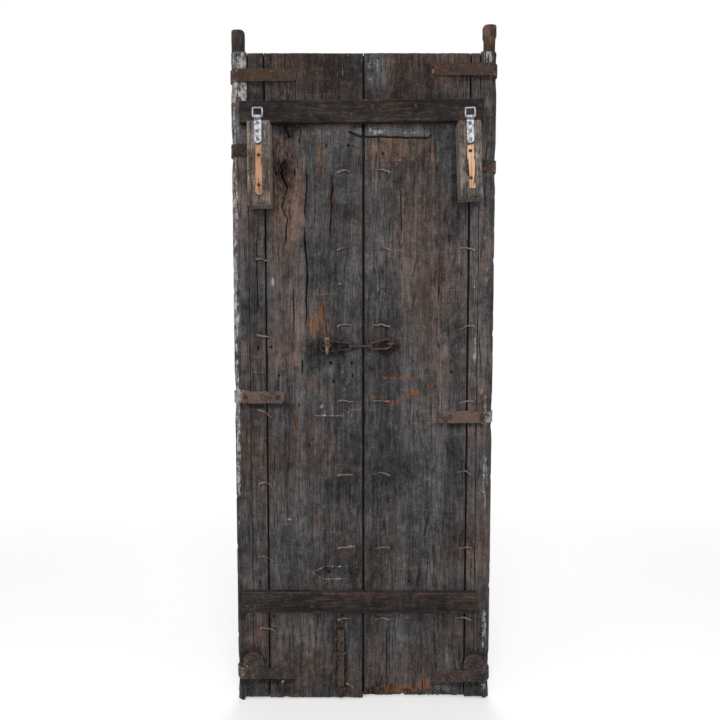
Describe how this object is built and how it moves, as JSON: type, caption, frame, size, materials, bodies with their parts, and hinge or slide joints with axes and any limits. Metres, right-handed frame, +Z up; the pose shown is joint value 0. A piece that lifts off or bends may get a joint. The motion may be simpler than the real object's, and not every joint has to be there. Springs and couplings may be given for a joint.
{
  "type": "window shutter",
  "caption": "Old double-leaf plank shutter with pivot posts, iron straps, chain lock and drop bolt, joined by battens and fitted with hanging blocks and ring hangers.",
  "frame": {"origin": "middle of the panel, at the height of its lowest foot and at half its depth", "axes": "+Z up, +X to the right as pictured, -Y out of the pictured face with the chain and the bolt"},
  "size_m": [0.6544, 0.1143, 1.696],
  "materials": {
    "old_wood": "weathered, cracked, dark grey-brown",
    "batten_wood": "sawn, dark brown",
    "block_wood": "rough, grey-brown",
    "wrought_iron": "forged, rusted",
    "zinc_steel": "zinc plated, bright",
    "peg_wood": "whittled, pale"
  },
  "bodies": {
    "panel": {"left_pivot_post": "old_wood", "right_pivot_post": "old_wood", "left_narrow_board": "old_wood", "right_narrow_board": "old_wood", "left_wide_board": "old_wood", "right_wide_board": "old_wood", "left_ledge_1": "old_wood", "left_ledge_2": "old_wood", "left_ledge_3": "old_wood", "left_ledge_4": "old_wood", "left_ledge_5": "old_wood", "left_ledge_6": "old_wood", "left_ledge_7": "old_wood", "right_ledge_1": "old_wood", "right_ledge_2": "old_wood", "right_ledge_3": "old_wood", "right_ledge_4": "old_wood", "right_ledge_5": "old_wood", "right_ledge_6": "old_wood", "right_ledge_7": "old_wood", "left_top_strap": "wrought_iron", "left_second_strap": "wrought_iron", "left_middle_strap": "wrought_iron", "left_bottom_strap": "wrought_iron", "right_top_strap": "wrought_iron", "right_second_strap": "wrought_iron", "right_middle_strap": "wrought_iron", "right_bottom_strap": "wrought_iron", "left_corner_plate": "wrought_iron", "right_corner_plate": "wrought_iron", "left_strap_nails": "wrought_iron", "right_strap_nails": "wrought_iron", "batten_nails": "wrought_iron", "block_screws": "wrought_iron", "lock_staple": "wrought_iron", "chain_staple": "wrought_iron", "upper_bolt_staple": "wrought_iron", "lower_bolt_staple": "wrought_iron", "left_ledge_nails": "wrought_iron", "right_ledge_nails": "wrought_iron", "upper_batten": "batten_wood", "lower_batten": "batten_wood", "left_hanging_block": "block_wood", "right_hanging_block": "block_wood", "left_hanger_strap": "zinc_steel", "right_hanger_strap": "zinc_steel", "hanger_screws": "zinc_steel"},
    "left_ring": {"left_hanger_ring": "zinc_steel"},
    "right_ring": {"right_hanger_ring": "zinc_steel"},
    "peg": {"locking_peg": "peg_wood"},
    "end_chain_link": {"end_link": "wrought_iron"},
    "middle_chain_link": {"middle_link": "wrought_iron"},
    "hasp": {"hasp_link": "wrought_iron"},
    "bolt": {"drop_bolt": "wrought_iron"}
  },
  "joints": [
    {"name": "left_ring_hinge", "type": "hinge", "parent": "panel", "child": "left_ring", "pos_m": [-0.25, -0.05235, 1.4587], "axis": [1, 0, 0], "range_deg": [-80, 170]},
    {"name": "right_ring_hinge", "type": "hinge", "parent": "panel", "child": "right_ring", "pos_m": [0.2498, -0.05235, 1.4587], "axis": [0.9993, 0, 0.0384], "range_deg": [-80, 170]},
    {"name": "bolt_slide", "type": "slide", "parent": "panel", "child": "bolt", "axis": [0, 0, 1], "range_m": [-0.035, 0.015]},
    {"name": "peg_slide", "type": "slide", "parent": "panel", "child": "peg", "axis": [0, 0, 1], "range_m": [0, 0.03]},
    {"name": "end_link_swing", "type": "hinge", "parent": "panel", "child": "end_chain_link", "pos_m": [0.06689, -0.00915, 0.92415], "axis": [0, 0, 1], "range_deg": [0, 8]},
    {"name": "middle_link_swing", "type": "hinge", "parent": "end_chain_link", "child": "middle_chain_link", "pos_m": [0.0146, -0.00915, 0.91833], "axis": [0, 0, 1], "range_deg": [-9, 0.5]},
    {"name": "hasp_swing", "type": "hinge", "parent": "middle_chain_link", "child": "hasp", "pos_m": [-0.0304, -0.00915, 0.91833], "axis": [0, 0, 1], "range_deg": [-8, 0.5]}
  ],
  "couplings": [
    {"joint": "middle_link_swing", "follows": "end_link_swing", "ratio": -1},
    {"joint": "hasp_swing", "follows": "end_link_swing", "ratio": -0.87737}
  ]
}
